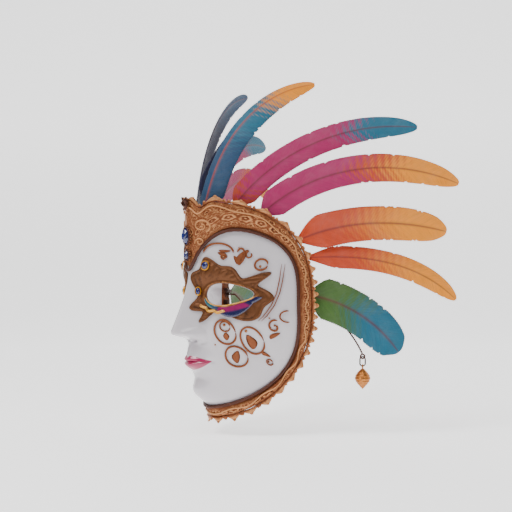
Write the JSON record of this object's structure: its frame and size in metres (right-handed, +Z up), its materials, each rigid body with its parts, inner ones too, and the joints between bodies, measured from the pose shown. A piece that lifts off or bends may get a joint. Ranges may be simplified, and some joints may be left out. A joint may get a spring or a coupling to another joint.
{
  "type": "masquerade mask",
  "caption": "Full-face carnival mask: white shell in a scalloped copper frame with stones, filigree, a fan of coloured plumes and two hanging drops.",
  "frame": {"origin": "inside of the nose bridge at eye level, on the middle plane, where the mask sits on the wearer", "axes": "+Z up, +Y back towards the wearer's head, +X to the wearer's left"},
  "size_m": [0.3232, 0.2407, 0.3442],
  "materials": {
    "white_lacquer": "glossy white lacquer over papier-mache",
    "copper": "embossed, antique copper paint with dark wash",
    "dark_copper": "dark brown copper, satin",
    "bronze": "antique bronze, satin",
    "gold": "aged gold, semi-gloss",
    "blue_stone": "cut stone, high gloss",
    "enamel": "glossy enamel, teal to magenta to navy",
    "crest_plume": "satin feather, blue with a gold tip",
    "navy_plume": "satin feather, navy",
    "magenta_plume": "satin feather, magenta with a teal or yellow tip",
    "orange_plume": "satin feather, orange to yellow",
    "green_plume": "satin feather, green to teal",
    "pad_foam": "black foam",
    "bead_gold": "polished copper gold"
  },
  "bodies": {
    "mask": {"face_shell": "white_lacquer", "frame_band": "copper", "frame_bead": "dark_copper", "scallop_trim": "copper", "scroll_relief": "copper", "crown_curls": "copper", "crown_finial": "dark_copper", "brow_gem_setting": "gold", "brow_gem": "blue_stone", "peak_gem_setting": "gold", "peak_gem": "blue_stone", "eye_surround_left": "bronze", "eye_surround_right": "bronze", "enamel_band_left": "enamel", "enamel_band_right": "enamel", "gold_wave_left": "gold", "gold_wave_right": "gold", "eye_gem_settings_left": "gold", "eye_gem_settings_right": "gold", "eye_gems_left": "blue_stone", "eye_gems_right": "blue_stone", "brow_filigree_left": "gold", "brow_filigree_right": "gold", "cheek_filigree_left": "gold", "cheek_filigree_right": "gold", "crest_feather_left": "crest_plume", "crest_feather_right": "crest_plume", "crest_feather_back": "navy_plume", "top_feather_left": "magenta_plume", "top_feather_right": "magenta_plume", "upper_feather_left": "magenta_plume", "upper_feather_right": "magenta_plume", "temple_feather_left": "orange_plume", "temple_feather_right": "orange_plume", "side_feather_left": "orange_plume", "side_feather_right": "orange_plume", "low_feather_left": "green_plume", "low_feather_right": "green_plume", "plume_tubes_left": "dark_copper", "plume_tubes_right": "dark_copper", "crest_tubes": "dark_copper", "brow_pad": "pad_foam", "temple_pad_left": "pad_foam", "temple_pad_right": "pad_foam", "tie_lug_left": "gold", "tie_lug_right": "gold", "lug_rivets_left": "gold", "lug_rivets_right": "gold", "drop_wire_left": "dark_copper", "drop_wire_right": "dark_copper"},
    "ring_left": {"drop_ring_left": "copper"},
    "bead_left": {"drop_bead_left": "bead_gold"},
    "ring_right": {"drop_ring_right": "copper"},
    "bead_right": {"drop_bead_right": "bead_gold"}
  },
  "joints": [
    {"name": "ring_swing_left", "type": "hinge", "parent": "mask", "child": "ring_left", "pos_m": [0.09398, 0.14959, -0.0635], "axis": [0.5446, 0.8387, 0], "range_deg": [-50, 50]},
    {"name": "bead_swing_left", "type": "hinge", "parent": "ring_left", "child": "bead_left", "pos_m": [0.09398, 0.14959, -0.07135], "axis": [-0.8387, 0.5446, 0], "range_deg": [-40, 40]},
    {"name": "ring_swing_right", "type": "hinge", "parent": "mask", "child": "ring_right", "pos_m": [-0.09398, 0.14959, -0.0635], "axis": [-0.5446, 0.8387, 0], "range_deg": [-50, 50]},
    {"name": "bead_swing_right", "type": "hinge", "parent": "ring_right", "child": "bead_right", "pos_m": [-0.09398, 0.14959, -0.07135], "axis": [0.8387, 0.5446, 0], "range_deg": [-40, 40]}
  ]
}
